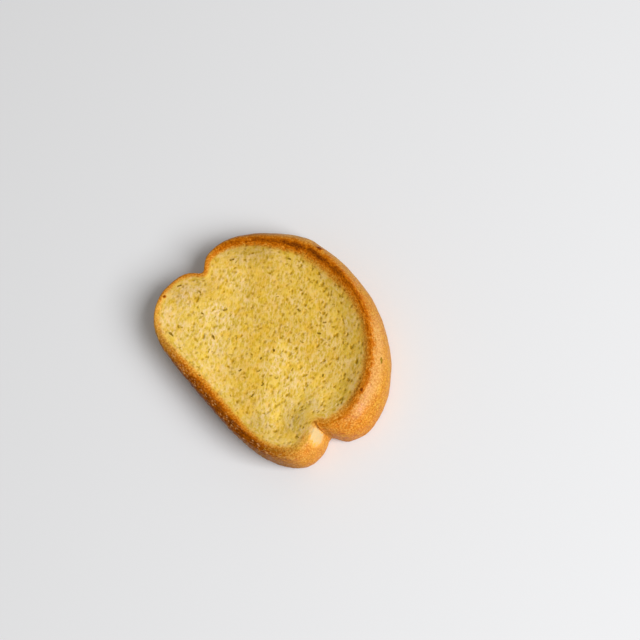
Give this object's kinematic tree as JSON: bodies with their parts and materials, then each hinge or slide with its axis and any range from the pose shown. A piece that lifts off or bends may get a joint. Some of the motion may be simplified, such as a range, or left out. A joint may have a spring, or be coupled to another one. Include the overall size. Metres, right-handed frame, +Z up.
{
  "type": "slice of garlic toast",
  "caption": "Thick slice of buttered garlic toast with a browned crust, a domed top, a dished crumb face and flakes of herb, lying flat.",
  "frame": {"origin": "under the middle of the slice, on the surface it lies on", "axes": "+X along the slice from lobe to lobe, +Y to the domed top of the loaf, +Z up out of the buttered face"},
  "size_m": [0.1214, 0.0896, 0.0204],
  "materials": {
    "toast": "baked bread: open buttered crumb, browned crust",
    "herb": "dried herb flake"
  },
  "bodies": {
    "root": {"toast_slice": "toast"}
  },
  "joints": []
}
